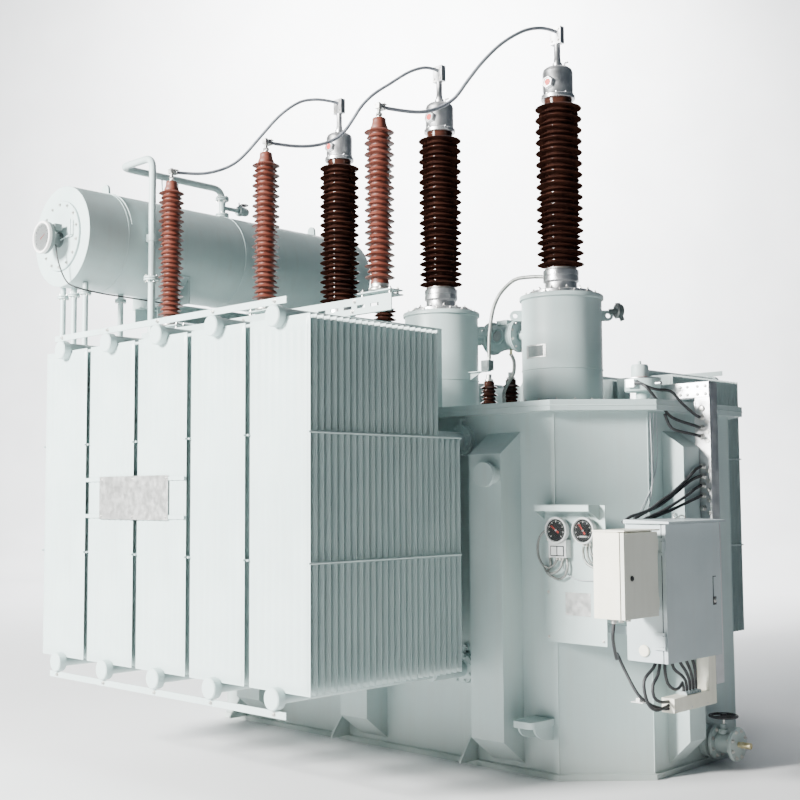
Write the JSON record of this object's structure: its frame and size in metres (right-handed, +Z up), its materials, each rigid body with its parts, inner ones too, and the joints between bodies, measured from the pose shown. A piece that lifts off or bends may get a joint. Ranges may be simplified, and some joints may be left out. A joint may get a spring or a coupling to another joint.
{
  "type": "power transformer",
  "caption": "Oil-filled power transformer: welded tank, banks of panel radiators, porcelain bushings, surge arresters, conservator drum, control cabinet and drain valve.",
  "frame": {"origin": "centre of the tank's footprint, on the ground", "axes": "+X along the tank towards its control cabinet, +Y across to the low-voltage side, +Z up"},
  "size_m": [5.0025, 5.13, 4.9626],
  "materials": {
    "tank_paint": "semi-gloss light grey-green",
    "cabinet_paint": "semi-gloss grey-blue",
    "cream_paint": "semi-gloss cream",
    "aluminium": "satin",
    "brown_porcelain": "glossy dark brown glaze",
    "red_silicone": "matte brick red",
    "instrument_black": "satin black",
    "wheel_black": "satin black",
    "lead_sheath": "matte grey"
  },
  "bodies": {
    "transformer": {"tank_body": "tank_paint", "tank_cover": "tank_paint", "radiator_front_1": "tank_paint", "radiator_front_2": "tank_paint", "radiator_front_3": "tank_paint", "radiator_front_4": "tank_paint", "radiator_front_5": "tank_paint", "header_tie_front_upper": "tank_paint", "header_tie_front_lower": "tank_paint", "radiator_back_1": "tank_paint", "radiator_back_2": "tank_paint", "radiator_back_3": "tank_paint", "radiator_back_4": "tank_paint", "radiator_back_5": "tank_paint", "header_tie_back_upper": "tank_paint", "header_tie_back_lower": "tank_paint", "hv_turret_1": "tank_paint", "hv_turret_2": "tank_paint", "hv_turret_3": "tank_paint", "arrester_beam": "tank_paint", "conservator_shell": "tank_paint", "conservator_end_front": "tank_paint", "conservator_end_back": "tank_paint", "conservator_stand": "tank_paint", "conservator_drain_1": "tank_paint", "conservator_drain_2": "tank_paint", "conservator_drain_3": "tank_paint", "conservator_drain_4": "tank_paint", "feed_pipe": "tank_paint", "vent_pipe": "tank_paint", "pressure_relief_valve": "tank_paint", "instrument_panel": "tank_paint", "drain_valve": "tank_paint", "hv_bushing_1": "brown_porcelain", "hv_terminal_1": "aluminium", "surge_arrester_1": "red_silicone", "jumper_lead_1": "lead_sheath", "hv_bushing_2": "brown_porcelain", "hv_terminal_2": "aluminium", "surge_arrester_2": "red_silicone", "jumper_lead_2": "lead_sheath", "hv_bushing_3": "brown_porcelain", "hv_terminal_3": "aluminium", "surge_arrester_3": "red_silicone", "jumper_lead_3": "lead_sheath", "oil_level_gauge": "instrument_black", "dial_thermometer_1": "instrument_black", "dial_thermometer_2": "instrument_black", "cable_trunk": "aluminium", "lv_bushing_group": "brown_porcelain", "neutral_bushing": "brown_porcelain", "control_cabinet": "cabinet_paint", "junction_box": "cream_paint", "cable_tray": "cream_paint"},
    "control_cabinet_door": {"control_cabinet_door": "cabinet_paint"},
    "junction_box_door": {"junction_box_door": "tank_paint"},
    "drain_valve_handwheel": {"drain_valve_handwheel": "wheel_black"}
  },
  "joints": [
    {"name": "control_cabinet_hinge", "type": "hinge", "parent": "transformer", "child": "control_cabinet_door", "pos_m": [2.2855, -0.973, 1.165], "axis": [0, 0, -1], "range_deg": [0, 90]},
    {"name": "junction_box_hinge", "type": "hinge", "parent": "transformer", "child": "junction_box_door", "pos_m": [2.2875, -1.039, 1.3], "axis": [0, 0, 1], "range_deg": [0, 90]},
    {"name": "drain_valve_spin", "type": "hinge", "parent": "transformer", "child": "drain_valve_handwheel", "pos_m": [2.02905, 0.12, 0.3113], "axis": [0, 0, 1], "continuous": true}
  ]
}
